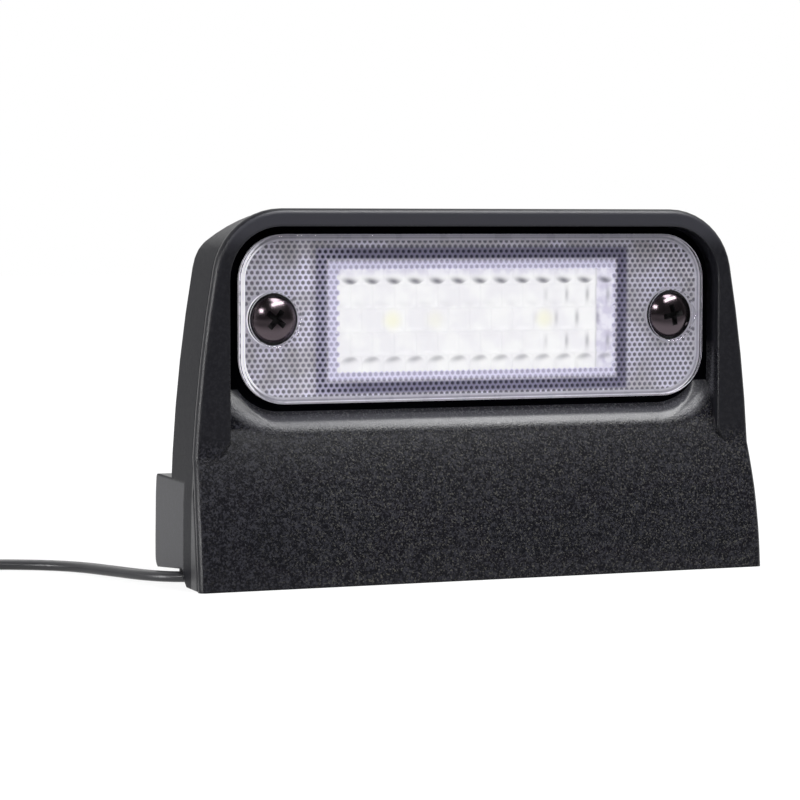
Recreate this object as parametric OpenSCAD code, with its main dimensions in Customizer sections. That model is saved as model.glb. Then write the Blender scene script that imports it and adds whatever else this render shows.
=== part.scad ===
// LED number plate lamp: a moulded hood on two screw feet, with a clear
// lens screwed into its front recess and a flat two-core lead.
// Millimetres. +Z is up, the lens looks along -Y, and +X is to its right.
// The origin lies on the base plane, under the middle of the housing.

/* [Housing] */
// Width of the housing at its base
body_w = 103.6; // [98:0.2:112]
// Height of the hood above the base plane
body_h = 63; // [62:0.5:70]
// Depth from the toe of the front panel to the back of the feet
body_d = 29; // [28:0.5:34]
// Depth of the hood behind its front rim
shell_d = 14; // [13.5:0.5:17]
// Wall thickness of the moulding
wall = 2; // [1.6:0.1:2.4]
// Thickness of the hood roof at the front rim
roof_t = 3; // [2.6:0.1:4]
// Radius of the bowed side faces
side_r = 270; // [240:5:400]
// Height up to which the side faces stand upright
side_z = 6; // [2:0.5:10]
// Radius of the upper corners of the hood
hood_corner_r = 12; // [10:0.5:14]
// Height of the top edge at the back of the hood
hood_back_h = 57.8; // [57.4:0.2:59.4]
// Radius of the top edge at the back of the hood
hood_back_r = 3; // [2.5:0.25:4]
// How far the toe of the front panel stands ahead of the rim
toe = 4.4; // [3:0.2:6]
// Radius of the bowed front panel
panel_r = 85; // [70:5:120]
// Drop from the lens down to where the panel is flush with the rim
flush_drop = 8.4; // [7.6:0.2:10]
// Gap between the lens and the ledge below it
ledge_gap = 0.9; // [0.5:0.1:1.4]
// Radius of the ledge below the lens
ledge_r = 6; // [4.5:0.5:7]
// Width of the raised front lip
lip_w = 1.3; // [1:0.1:2]
// Width of the shadow groove behind the lip
groove_w = 0.9; // [0.4:0.1:1.2]
// Depth of the shadow groove, and of the step down to the feet
groove_t = 0.7; // [0.5:0.1:1]
// Step from the lip down to the side strip
strip_t = 0.3; // [0.2:0.1:0.4]

/* [Feet] */
// Height of the feet
foot_h = 17.4; // [14:0.2:20]
// Width of each foot
foot_w = 14; // [12.5:0.5:16]
// Where the side of the foot begins behind the front rim
foot_front = 6.5; // [5.5:0.5:8]
// Radius of the lower back corner of the feet
foot_r = 2; // [1.5:0.5:3]
// Radius of the upper back corner of the feet
foot_top_r = 0.8; // [0.6:0.2:2]
// Thickness of the top of the feet
foot_top = 3; // [2.4:0.2:4]
// Distance between the two mounting holes
hole_spacing = 88; // [86:1:90]
// Diameter of the mounting holes
hole_d = 4.5; // [4.2:0.1:5.2]
// Outer diameter of the tube around each mounting hole
tube_d = 8.4; // [8:0.2:9]
// Height of the gap under the sides that lets the lead out
lead_gap = 2.6; // [2.4:0.1:3]
// Height of the gap under the back of the feet
foot_gap = 1.2; // [0.8:0.1:2]
// Thickness of the ribs inside the housing
rib_t = 1.4; // [1:0.1:1.8]
// Distance between the two ribs
rib_spacing = 34; // [24:1:40]
// Height of the lower edge of the ribs
rib_z = 14; // [10:1:18]

/* [Lens] */
// Width of the lens
lens_w = 85.6; // [82:0.2:88]
// Height of the lens
lens_h = 28.4; // [27.4:0.2:29]
// Radius of the lens corners
lens_r = 7.8; // [6:0.2:9]
// Overall thickness of the lens at its edge
lens_t = 2.6; // [2.4:0.1:3]
// Thickness of the lens front wall
lens_face_t = 1.8; // [1.6:0.1:2]
// Width of the rim along the back of the lens
lens_rim = 2.2; // [1.6:0.1:2.8]
// Gap between the lens and the side walls of the recess
side_gap = 2.3; // [1.6:0.1:3]
// Gap between the lens and the hood roof
top_gap = 1.3; // [0.8:0.1:2]
// Distance from the front rim back to the floor of the recess
seat_depth = 4.6; // [4.2:0.1:5.2]
// Thickness of the seal under the lens
seal_t = 0.5; // [0.3:0.1:0.8]
// Width of the seal
seal_w = 2; // [1.4:0.1:2.6]

/* [Optics] */
// How far the optics sit below the middle of the lens
light_drop = 0.4; // [0:0.1:0.6]
// Width of the pillow optics
optic_w = 51.4; // [46:0.2:52]
// Height of the pillow optics
optic_h = 17.6; // [15:0.2:18.4]
// Number of pillows in a full row
pillow_cols = 13; // [9:1:15]
// Distance between neighbouring rows of pillows
pillow_pitch = 4; // [3.4:0.1:4.4]
// How far the pillows stand out of the lens
pillow_t = 0.5; // [0.3:0.05:0.6]

/* [Light unit] */
// Width of the light chamber
chamber_w = 57.6; // [56:0.2:59]
// Gap between the reflector and the top and bottom of the light chamber
chamber_gap = 0.6; // [0.4:0.1:0.8]
// Inner width of the reflector
reflector_w = 52.4; // [50:0.2:53]
// Wall thickness of the reflector
reflector_t = 0.9; // [0.7:0.1:1.2]
// Thickness of the circuit board
board_t = 1.6; // [1:0.1:1.6]
// Space behind the circuit board
board_gap = 1.8; // [1.7:0.1:2.2]
// Distance between neighbouring light-emitting diodes
led_pitch = 9.6; // [8:0.2:10.5]
// Width of a light-emitting diode
led_w = 3.5; // [2.8:0.1:4]
// Height of a light-emitting diode
led_h = 2.8; // [2.4:0.1:3.4]
// Thickness of a light-emitting diode
led_t = 0.9; // [0.7:0.1:1.2]

/* [Screws] */
// Distance between the two lens screws
screw_spacing = 73.5; // [71:0.5:75]
// Diameter of the screw heads
head_d = 7.8; // [7.4:0.1:8.4]
// Height of the screw heads
head_t = 2.3; // [2:0.1:2.8]
// Diameter of the screw threads
thread_d = 3.9; // [3.5:0.1:4.2]
// Length of the screws under the head
screw_l = 7.6; // [6.5:0.1:8]
// Diameter of the counterbores in the lens
counterbore_d = 8.8; // [8.6:0.1:9.4]
// Depth of the counterbores
counterbore_t = 1.6; // [1.2:0.1:1.8]
// Outer diameter of the posts that the screws cut into
post_d = 8; // [7:0.2:8.6]

/* [Lead] */
// Width of the flat two-core lead
lead_w = 3.2; // [3:0.1:3.4]
// Thickness of the lead
lead_t = 1.8; // [1.6:0.1:1.9]
// Mean diameter of the coiled lead
coil_d = 36; // [33:0.2:37]
// Number of turns side by side in the coil
coil_wide = 2; // [2:1:3]
// Number of layers of turns in the coil
coil_high = 2; // [2:1:3]
// Diameter of each insulated core
core_d = 1.3; // [1.1:0.1:1.4]
// Length of the two loose cores at the end of the lead
tail_l = 14; // [8:1:20]
// Length of the tinned tip of each core
tip_l = 5; // [4:0.5:8]

/* [Hidden] */
$fn = 48;

// A cut reaches this far past the surface that it opens
past = 1;
// Clearance of a piece that drops into its place
slip = 0.3;
// Clearance of a screw in the hole that it cuts
thread_slip = 0.05;

// The hood seen from behind its front rim, whose plane is y = 0 in what follows
rim_y = toe - body_d / 2;
half_w = body_w / 2;
foot_back = body_d - toe;

// Outline of the hood: sides that bow in above their upright part and run into the upper corners
side_cx = half_w - side_r;
corner_z = body_h - hood_corner_r;
corner_x = side_cx + sqrt(pow(side_r - hood_corner_r, 2) - pow(corner_z - side_z, 2));
corner_a = atan2(corner_z - side_z, corner_x - side_cx);
side_steps = 6;
corner_steps = 10;

// Recess for the lens
recess_x = lens_w / 2 + side_gap;
recess_top = body_h - roof_t;
recess_r = hood_corner_r - roof_t;
recess_flare = 1.8;
recess_flare_h = 2.4;
lens_z = recess_top - top_gap - lens_h / 2;
lens_back = seat_depth - seal_t;
lens_front = lens_back - lens_t;
lens_inside = lens_front + lens_face_t;
light_z = lens_z - light_drop;

// Bowed front panel: an arc through the toe and the line where it is flush with the rim
flush_z = lens_z - lens_h / 2 - flush_drop;
chord = norm([toe, flush_z]);
chord_rise = sqrt(pow(panel_r, 2) - pow(chord / 2, 2));
panel_cy = chord_rise * flush_z / chord - toe / 2;
panel_cz = flush_z / 2 - chord_rise * toe / chord;
panel_seat_z = panel_cz + sqrt(pow(panel_r, 2) - pow(panel_cy - seat_depth, 2));
panel_steps = 14;

// Rounded ledge below the lens: an arc that touches the recess wall and the panel
pocket_z = lens_z - lens_h / 2 - ledge_gap;
pocket_r = lens_r + ledge_gap;
ledge_cz = pocket_z - ledge_r;
ledge_cy = panel_cy - sqrt(pow(panel_r - ledge_r, 2) - pow(ledge_cz - panel_cz, 2));
ledge_a0 = acos((seat_depth - ledge_cy) / ledge_r);
ledge_a1 = atan2(ledge_cz - panel_cz, ledge_cy - panel_cy);
ledge_z = ledge_cz + ledge_r * sin(ledge_a1);
ledge_steps = 8;

// Crown of the hood: a slope from the lip to the rounded top edge at the back
crown_cy = shell_d - hood_back_r;
crown_cz = hood_back_h - hood_back_r;
crown_run = norm([crown_cy - lip_w, body_h - crown_cz]);
crown_a = atan2(body_h - crown_cz, lip_w - crown_cy) - acos(hood_back_r / crown_run);
crown_steps = 6;

// Light chamber behind the recess, with the reflector inside the seal
reflector_out_h = lens_h - 2 * (seal_w + light_drop + 2 * slip);
reflector_h = reflector_out_h - 2 * reflector_t;
chamber_h = reflector_out_h + 2 * chamber_gap;
chamber_back = shell_d - wall;
chamber_floor = light_z - chamber_h / 2;
board_back = chamber_back - board_gap;
board_front = board_back - board_t;
reflector_front = lens_inside + pillow_t + slip;
reflector_floor_t = 0.6;

// Lens screws
screw_seat = lens_front + counterbore_t;
screw_tip = screw_seat + screw_l;
boss_wall = 1.2;
boss_d = counterbore_d + 2 * boss_wall;
eyelet_wall = 2.8;
eyelet_d = thread_d + 2 * eyelet_wall;

// Mounting feet
hole_y = (shell_d + foot_back) / 2;
foot_in = half_w - foot_w;
foot_steps = 4;
tube_root = 0.6;
foot_hollow = max(foot_in + wall, (hole_spacing - tube_d) / 2 + tube_root);

// Small components on the back of the board: place and size of each
diode_at = [-14, 3];
diode_size = [2.7, 1.6, 1.1];
resistor_at = [9, -5];
resistor_size = [3.2, 1.6, 0.6];
capacitor_at = [14, 3];
capacitor_size = [3.2, 2.5, 1.2];

// Way out for the lead, and the grommet that it leaves the chamber through
gap_front = foot_front + 2;
gap_slope = 4;
grommet_x = -22;
grommet_in = 1.6;
grommet_y = chamber_back - grommet_in;
grommet_w = lead_w + 1.8;
grommet_t = 3;
grommet_flange = 1;
sleeve_wall = 0.5;
sleeve_l = 7;
sleeve_end = chamber_floor - wall - grommet_flange - sleeve_l;
core_y = board_back + board_gap / 2;
core_gap = 1.8;
core_l = 4;

// Route of the lead: down from the grommet along the back wall, then under the foot and over the floor
lead_top = [grommet_x, grommet_y + rim_y, sleeve_end];
lead_down = [[-22, 17], [-22.4, 12.5], [-24.2, 8.5], [-27.2, 5], [-31, 2.6], [-35.5, 1.3]];
lead_clear = 0.2;
lead_down_y = chamber_back + rim_y - lead_w / 2 - lead_clear;
lead_over = [
    [-40.5, 0.2], [-45.5, 0.4], [-49.2, 1], [-52.2, 2.4], [-54.5, 4.7], [-56.5, 7.8], [-58.3, 11.5], [-60.1, 15.1],
    [-62, 18.7], [-64.4, 22], [-67.6, 24.9], [-71.6, 27.4], [-76.3, 29.4], [-81.5, 31], [-87, 32.1], [-94, 32.4],
    [-101, 32.4]
];
lead_high = 17;
lead_bend = 12;
lead_low = 5;
floor_z = lead_t / 2;
lead_route = concat(
    [lead_top],
    [for (p = lead_down) [p[0], p[1] > lead_bend ? lead_top[1] : lead_down_y, p[1]]],
    [for (p = lead_over) [p[0], p[1], floor_z]]
);

// Coil of the rest of the lead, which comes in at the back as the outer turn of the lower layer
coil_turn_w = lead_w + 0.3;
coil_slip = 0.1;
coil_in = coil_d / 2 - coil_wide * coil_turn_w / 2;
coil_out = coil_d / 2 + coil_wide * coil_turn_w / 2;
coil_h = coil_high * lead_t + 2 * coil_slip;
coil_x = lead_over[len(lead_over) - 1][0];
tail_r = coil_out - coil_turn_w / 2;
coil_y = lead_over[len(lead_over) - 1][1] - tail_r;
tie_a = 300;
tie_t = 0.4;
tie_w = 3;
tail_a = 180;
tail_gap = 0.4;
tip_d = 0.7;

black = "#2b2b2f";

function arc(cx, cy, r, a0, a1, n) =
    [for (i = [0:n]) let (a = a0 + (a1 - a0) * i / n) [cx + r * cos(a), cy + r * sin(a)]];
function reverse(v) = [for (i = [len(v) - 1:-1:0]) v[i]];
function mirrored(v) = [for (p = reverse(v)) [-p[0], p[1]]];
function panel_y(z) = panel_cy - sqrt(pow(panel_r, 2) - pow(z - panel_cz, 2));
function panel_line(inset, z0, z1) =
    [for (i = [0:panel_steps]) let (z = z0 + (z1 - z0) * i / panel_steps) [panel_y(z) + inset, z]];
function crown_z(y, inset) = crown_cz + (hood_back_r - inset - (y - crown_cy) * cos(crown_a)) / sin(crown_a);

// Right half of the hood's outline, drawn inside it by the inset
function half_outline(inset) = concat(
    [[half_w - inset, -past]],
    arc(side_cx, side_z, side_r - inset, 0, corner_a, side_steps),
    arc(corner_x, corner_z, hood_corner_r - inset, corner_a, 90, corner_steps)
);

// Front edge of the hood seen from the side, moved back by the inset
function front_line(inset) = concat(panel_line(inset, 0, flush_z), [[inset, body_h]]);

// Moves a piece from the rim plane to its place over the origin
module at_rim() {
    translate([0, rim_y, 0]) children();
}

// Extrudes a shape drawn in X and Z along Y
module along_y(y0, y1) {
    translate([0, y1, 0]) rotate([90, 0, 0]) linear_extrude(y1 - y0) children();
}

// Extrudes a shape drawn in Y and Z along X
module along_x(x0, x1) {
    translate([x0, 0, 0]) rotate([90, 0, 90]) linear_extrude(x1 - x0) children();
}

// Cylinder along Y
module rod_y(d, y0, y1) {
    translate([0, y1, 0]) rotate([90, 0, 0]) cylinder(d = d, h = y1 - y0);
}

module rounded(w, h, r) {
    square([w - 2 * r, h], center = true);
    square([w, h - 2 * r], center = true);
    for (sx = [-1, 1], sz = [-1, 1]) translate([sx * (w / 2 - r), sz * (h / 2 - r)]) circle(r);
}

// Slot with round ends along X
module stadium(w, t) {
    square([w - t, t], center = true);
    for (sx = [-1, 1]) translate([sx * (w - t) / 2, 0]) circle(d = t);
}

module rounded_plate(w, h, r, y0, y1) {
    along_y(y0, y1) translate([0, lens_z]) rounded(w, h, r);
}

module box(x0, x1, y0, y1, z0, z1) {
    translate([x0, y0, z0]) cube([x1 - x0, y1 - y0, z1 - z0]);
}

module outline(inset) {
    along_y(-toe - past, foot_back + past)
        polygon(concat(half_outline(inset), mirrored(half_outline(inset))));
}

module side_profile(points) {
    along_x(-half_w - past, half_w + past) polygon(points);
}

// Full depth of the hood, without the step at the lip
module hood_core() {
    intersection() {
        outline(groove_t);
        side_profile(concat(front_line(0), [[lip_w, body_h]],
            arc(crown_cy, crown_cz, hood_back_r, crown_a, 0, crown_steps), [[shell_d, 0]]));
    }
}

module front_lip() {
    intersection() {
        outline(0);
        side_profile(concat(front_line(0), reverse(front_line(lip_w))));
    }
}

module side_strip() {
    intersection() {
        outline(strip_t);
        side_profile(concat(panel_line(lip_w + groove_w, 0, flush_z), [
            [lip_w + groove_w, crown_z(lip_w + groove_w, 0)]
        ], arc(crown_cy, crown_cz, hood_back_r, crown_a, 0, crown_steps), [
            [shell_d, foot_h], [foot_front, foot_h], [foot_front, 0]
        ]));
    }
}

module hood_cavity() {
    intersection() {
        outline(groove_t + wall);
        side_profile(concat([[panel_y(0) + wall, -past]], panel_line(wall, 0, ledge_z), [
            [seat_depth + wall, ledge_z + wall],
            [seat_depth + wall, crown_z(seat_depth + wall, wall)]
        ], arc(crown_cy, crown_cz, hood_back_r - wall, crown_a, 0, crown_steps), [[shell_d - wall, -past]]));
    }
}

// Walls round the light chamber
module chamber_walls() {
    along_y(seat_depth, shell_d - wall / 2) translate([0, light_z])
        square([chamber_w + 2 * wall, chamber_h + 2 * wall], center = true);
}

module screw_posts() {
    for (sx = [-1, 1]) translate([sx * screw_spacing / 2, 0, lens_z]) rod_y(post_d, seat_depth, shell_d - wall / 2);
}

module inner_ribs() {
    for (sx = [-1, 1]) translate([sx * rib_spacing / 2, 0, 0])
        box(-rib_t / 2, rib_t / 2, -toe, shell_d - wall / 2, rib_z, light_z);
}

module foot_block() {
    intersection() {
        outline(groove_t);
        union() for (sx = [-1, 1]) {
            x0 = sx > 0 ? foot_in : -half_w - past;
            along_x(x0, x0 + foot_w + past) polygon(concat(
                [[shell_d - wall, 0], [shell_d - wall, foot_h]],
                arc(foot_back - foot_top_r, foot_h - foot_top_r, foot_top_r, 90, 0, foot_steps),
                arc(foot_back - foot_r, foot_gap + foot_r, foot_r, 0, -90, foot_steps),
                [[foot_back - foot_r, 0]]
            ));
        }
    }
}

module foot_cavity() {
    intersection() {
        outline(groove_t + wall);
        for (sx = [-1, 1]) scale([sx, 1, 1])
            box(foot_hollow, half_w, shell_d, foot_back - wall, -past, foot_h - foot_top);
    }
}

module foot_tubes(d, z0, z1) {
    for (sx = [-1, 1]) translate([sx * hole_spacing / 2, hole_y, z0]) cylinder(d = d, h = z1 - z0);
}

// Relief under the sides and the feet, through which the lead leaves on either side
module lead_relief() {
    for (sx = [-1, 1]) {
        x0 = sx > 0 ? foot_in - wall : -half_w - past;
        along_x(x0, x0 + foot_w + wall + past) polygon([
            [gap_front - gap_slope, -past], [gap_front - gap_slope, 0], [gap_front, lead_gap],
            [foot_back, foot_gap], [foot_back, -past]
        ]);
    }
}

// Space in front of the panel, from the flush line up
module above_panel() {
    side_profile(concat([[-toe - past, flush_z]], panel_line(0, flush_z, panel_seat_z), [
        [seat_depth, body_h], [-toe - past, body_h]
    ]));
}

// The ledge rounds the edge of the lens pocket: its section, away from the pocket wall
function ledge_section() = concat(
    arc(ledge_cy, ledge_cz, ledge_r, ledge_a0, ledge_a1, ledge_steps),
    [[-toe - past, ledge_z], [-toe - past, pocket_z + past], [seat_depth, pocket_z + past]]
);

module ledge_cut() {
    corner = lens_w / 2 - lens_r;
    along_x(-corner, corner) polygon(ledge_section());
    for (sx = [-1, 1])
        translate([sx * corner, 0, pocket_z + pocket_r]) rotate([90, 0, 0])
            rotate([0, 0, sx > 0 ? -90 : 180]) rotate_extrude(angle = 90, $fn = 96)
                polygon([for (p = ledge_section()) [pocket_r + pocket_z - p[1], -p[0]]]);
}

// Recess that holds the lens: hood walls on three sides, ledge and panel below
module lens_recess() {
    half = concat(
        [[recess_x + recess_flare, flush_z], [recess_x, flush_z + recess_flare_h]],
        arc(recess_x - recess_r, recess_top - recess_r, recess_r, 0, 90, corner_steps)
    );
    intersection() {
        along_y(-toe - past, seat_depth) polygon(concat(half, mirrored(half)));
        union() {
            above_panel();
            rounded_plate(lens_w + 2 * ledge_gap, lens_h + 2 * ledge_gap, pocket_r, -toe - past, seat_depth);
            ledge_cut();
        }
    }
}

module housing() {
    color(black) at_rim() difference() {
        union() {
            difference() {
                union() {
                    hood_core();
                    front_lip();
                    side_strip();
                }
                difference() {
                    hood_cavity();
                    chamber_walls();
                    screw_posts();
                    inner_ribs();
                }
            }
            foot_block();
        }
        lens_recess();
        along_y(seat_depth - past, chamber_back) translate([0, light_z]) square([chamber_w, chamber_h], center = true);
        for (sx = [-1, 1]) translate([sx * screw_spacing / 2, 0, lens_z]) {
            rod_y(boss_d + 2 * slip, -toe - past, seat_depth);
            rod_y(thread_d + 2 * thread_slip, lens_front, screw_tip + slip);
        }
        translate([grommet_x, grommet_y, chamber_floor - wall - past])
            linear_extrude(wall + 2 * past) stadium(grommet_w, grommet_t);
        difference() {
            union() {
                foot_cavity();
                lead_relief();
            }
            foot_tubes(tube_d, 0, foot_h);
        }
        foot_tubes(hole_d, -past, foot_h + past);
    }
}

// Round pillow on the inside of the lens, clear of its neighbours
module pillow() {
    fill = 0.92;
    cap_r = fill * min(optic_w / pillow_cols, pillow_pitch) / 2;
    ball_r = (pow(cap_r, 2) + pow(pillow_t, 2)) / (2 * pillow_t);
    root = 0.1;
    rotate([-90, 0, 0]) rotate_extrude() intersection() {
        translate([0, pillow_t - ball_r]) circle(ball_r, $fn = 96);
        translate([0, -root]) square([cap_r, pillow_t + root]);
    }
}

// Pillows in rows laid like bricks, cut off at the top and bottom of the optics
module pillows() {
    cell_w = optic_w / pillow_cols;
    rows = floor(optic_h / 2 / pillow_pitch);
    intersection() {
        for (row = [-rows:rows]) {
            last = row % 2 == 0 ? pillow_cols - 1 : pillow_cols - 2;
            for (i = [0:last]) translate([cell_w * (i - last / 2), lens_inside, light_z + pillow_pitch * row]) pillow();
        }
        along_y(lens_inside - past, lens_inside + pillow_t + past) translate([0, light_z])
            square([optic_w, optic_h], center = true);
    }
}

module lens() {
    color("#d6dcf0", 0.5) at_rim() difference() {
        union() {
            difference() {
                rounded_plate(lens_w, lens_h, lens_r, lens_front, lens_back);
                rounded_plate(lens_w - 2 * lens_rim, lens_h - 2 * lens_rim, lens_r - lens_rim,
                    lens_inside, lens_back + past);
            }
            for (sx = [-1, 1]) translate([sx * screw_spacing / 2, 0, lens_z]) rod_y(boss_d, lens_inside - slip, lens_back);
            pillows();
        }
        for (sx = [-1, 1]) translate([sx * screw_spacing / 2, 0, lens_z]) {
            rod_y(counterbore_d, lens_front - past, screw_seat);
            rod_y(thread_d + 2 * slip, lens_front, lens_back + past);
        }
    }
}

// Seal under the edge of the lens, with an eyelet for each screw on a web that ties it to the edge
module lens_seal() {
    inset = 2 * slip;
    screw_x = screw_spacing / 2;
    edge_x = (lens_w - inset - seal_w) / 2;
    web_h = eyelet_d / 2;
    color("#151517") at_rim() difference() {
        union() {
            difference() {
                rounded_plate(lens_w - inset, lens_h - inset, lens_r - inset / 2, lens_back, seat_depth);
                rounded_plate(lens_w - inset - 2 * seal_w, lens_h - inset - 2 * seal_w,
                    lens_r - inset / 2 - seal_w, lens_back - past, seat_depth + past);
            }
            for (sx = [-1, 1]) scale([sx, 1, 1]) {
                translate([screw_x, 0, lens_z]) rod_y(eyelet_d, lens_back, seat_depth);
                box(min(screw_x, edge_x), max(screw_x, edge_x), lens_back, seat_depth,
                    lens_z - web_h / 2, lens_z + web_h / 2);
            }
        }
        for (sx = [-1, 1]) translate([sx * screw_spacing / 2, 0, lens_z])
            rod_y(thread_d + 2 * slip, lens_back - past, seat_depth + past);
    }
}

// Pan-head screw along Y, with a cross recess and a blunt point
module lens_screw(side) {
    dome = 0.9;
    dome_r = (pow(head_d / 2, 2) + pow(dome, 2)) / (2 * dome);
    slot_w = 1.1;
    slot_l = 4.6;
    slot_t = 1.4;
    point = 1.2;
    brim = 0.25;
    color("#1a1a1c") at_rim() translate([side * screw_spacing / 2, screw_seat, lens_z]) rotate([90, 0, 0])
        difference() {
            rotate_extrude() polygon(concat(
                [[0, -screw_l], [thread_d / 4, -screw_l], [thread_d / 2, point - screw_l], [thread_d / 2, 0]],
                [[head_d / 2 - brim, 0], [head_d / 2, brim], [head_d / 2, head_t - dome]],
                [for (i = [1:6]) let (r = head_d / 2 * (1 - i / 6)) [r, head_t - dome_r + sqrt(pow(dome_r, 2) - r * r)]]
            ));
            for (a = [20, 110]) rotate([0, 0, a]) translate([0, 0, head_t - slot_t / 2 + past / 2])
                cube([slot_l, slot_w, slot_t + past], center = true);
        }
}

// White tray that stands on the board, with a window for each diode
module reflector() {
    tray_w = reflector_w + 2 * reflector_t;
    color("#f4f4f6") at_rim() translate([0, 0, light_z]) difference() {
        along_y(reflector_front, board_front) square([tray_w, reflector_out_h], center = true);
        along_y(reflector_front - past, board_front - reflector_floor_t) square([reflector_w, reflector_h], center = true);
        for (place = [-1.5:1.5]) translate([place * led_pitch, 0, 0])
            along_y(reflector_front, board_front + past) square([led_w + 2 * slip, led_h + 2 * slip], center = true);
    }
}

module led_board() {
    pad_w = 1.5;
    color("#e9ebe6") at_rim() translate([0, 0, light_z]) {
        along_y(board_front, board_back) square([chamber_w - 2 * slip, chamber_h - 2 * slip], center = true);
        for (sx = [-1, 1]) translate([sx * (chamber_w / 2 - slip - pad_w / 2), 0, 0])
            along_y(board_back, chamber_back) square([pad_w, chamber_h / 2], center = true);
    }
}

// Light-emitting diode with a shallow round cup
module led(place) {
    cup_rim = 0.25;
    cup_t = 0.3;
    cup_d = min(led_w, led_h) - 2 * cup_rim;
    color("#f3d98a") at_rim() translate([place * led_pitch, 0, light_z]) difference() {
        along_y(board_front - led_t, board_front) square([led_w, led_h], center = true);
        rod_y(cup_d, board_front - led_t - past, board_front - led_t + cup_t);
    }
}

// Box of a component soldered to the back of the board
module on_back(at, size, tone) {
    color(tone) at_rim() translate([at[0], 0, light_z + at[1]]) along_y(board_back, board_back + size[2])
        square([size[0], size[1]], center = true);
}

module driver_chip() {
    chip = [4.9, 3.9, 1.4];
    leg = [0.4, 1.02, 0.2];
    leg_pitch = 1.27;
    leg_root = 0.01;
    on_back([0, 0], chip, "#26262a");
    for (i = [-1.5:1.5], sz = [-1, 1])
        on_back([i * leg_pitch, sz * ((chip[1] + leg[1]) / 2 - leg_root)], leg, "#c8c9cc");
}

module polarity_diode() {
    on_back(diode_at, diode_size, "#202024");
}

module resistor(side) {
    on_back([side * resistor_at[0], resistor_at[1]], resistor_size, "#2a2a2e");
}

module capacitor() {
    on_back(capacitor_at, capacitor_size, "#b9a184");
}

module solder_joints() {
    joint_d = core_d + 0.3;
    joint_h = 1.4;
    for (side = [-1, 1]) color("#c4c6ca") at_rim()
        translate([grommet_x + side * core_gap / 2, core_y, chamber_floor + core_l]) cylinder(d = joint_d, h = joint_h);
}

// Insulated core from the grommet up to its solder joint
module core(side, tone) {
    color(tone) at_rim() translate([grommet_x + side * core_gap / 2, core_y, chamber_floor])
        cylinder(d = core_d, h = core_l);
}

// Rubber bush in the chamber floor, with a sleeve that guides the lead
module lead_grommet() {
    bush_z = chamber_floor - wall;
    color("#1b1b1d") at_rim() translate([grommet_x, grommet_y, 0]) {
        translate([0, 0, bush_z]) linear_extrude(wall) stadium(grommet_w, grommet_t);
        translate([0, 0, bush_z - grommet_flange]) linear_extrude(grommet_flange)
            stadium(grommet_w + 2 * grommet_flange, grommet_t);
        translate([0, 0, sleeve_end]) linear_extrude(sleeve_l)
            stadium(lead_w + 2 * sleeve_wall, lead_t + 2 * sleeve_wall);
    }
}

function unit(v) = v / norm(v);
function tangent(p, i) = unit(p[min(i + 1, len(p) - 1)] - p[max(i - 1, 0)]);

// Direction of the lead's width: along X in the grommet, level where it lies on the floor
function width_dir(t, p) =
    let (lying = [-t[1], t[0], 0], turn = max(0, min(1, (lead_high - p[2]) / (lead_high - lead_low))))
    let (w = [1, 0, 0] * (1 - turn) + lying * turn)
    unit(w - t * (w * t));

// Flattened eight-sided section of the lead
function lead_ring(p, t) =
    let (w = width_dir(t, p) * lead_w / 2, n = cross(t, width_dir(t, p)) * lead_t / 2, flat = 0.55)
    [for (c = [[1, -flat], [1, flat], [flat, 1], [-flat, 1], [-1, flat], [-1, -flat], [-flat, -1], [flat, -1]])
        p + w * c[0] + n * c[1]];

module lead() {
    rings = [for (i = [0:len(lead_route) - 1]) lead_ring(lead_route[i], tangent(lead_route, i))];
    points = [for (r = rings) for (q = r) q];
    sides = 8;
    last = len(rings) - 1;
    faces = concat(
        [[for (k = [0:sides - 1]) k]],
        [for (i = [0:last - 1], k = [0:sides - 1])
            let (a = i * sides + k, b = i * sides + (k + 1) % sides) each [[a, a + sides, b + sides], [a, b + sides, b]]],
        [[for (k = [sides - 1:-1:0]) last * sides + k]]
    );
    color("#3a3a3e") polyhedron(points, faces);
}

module tie_place() {
    translate([coil_x, coil_y, 0]) rotate([0, 0, tie_a]) children();
}

// Outer shape of all the turns, with room for the lead where it comes in
module lead_coil() {
    color("#3a3a3e") difference() {
        translate([coil_x, coil_y, 0]) rotate_extrude($fn = 96)
            translate([coil_in, 0]) square([coil_out - coil_in, coil_h]);
        translate([coil_x, coil_y, 0])
            box(0, coil_out, tail_r - lead_w / 2 - slip, coil_out + past, -past, lead_t + coil_slip);
        tie_place() box(coil_in - past, coil_out + past, -tie_w / 2, tie_w / 2, -past, tie_t);
    }
}

// Band round the turns, let into the underside of the coil
module coil_tie() {
    color("#1b1b1d") tie_place() difference() {
        box(coil_in - 2 * tie_t, coil_out + 2 * tie_t, -tie_w / 2, tie_w / 2, 0, coil_h + tie_t);
        box(coil_in - tie_t, coil_out + tie_t, -tie_w, tie_w, tie_t, coil_h);
    }
}

// Each loose core lies on the floor, along the line on which the outer turn leaves the coil
module tail_place(side) {
    inner = tail_r - core_d - tail_gap / 2;
    clear = sqrt(pow(coil_out + slip, 2) - pow(inner, 2));
    translate([coil_x, coil_y, 0]) rotate([0, 0, tail_a])
        translate([tail_r + side * (core_d + tail_gap) / 2, clear, core_d / 2]) rotate([-90, 0, 0]) children();
}

module tail_core(side, tone) {
    color(tone) tail_place(side) cylinder(d = core_d, h = tail_l);
}

module tail_tip(side) {
    color("#c4c6ca") tail_place(side) translate([0, 0, tail_l]) cylinder(d = tip_d, h = tip_l);
}

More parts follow.
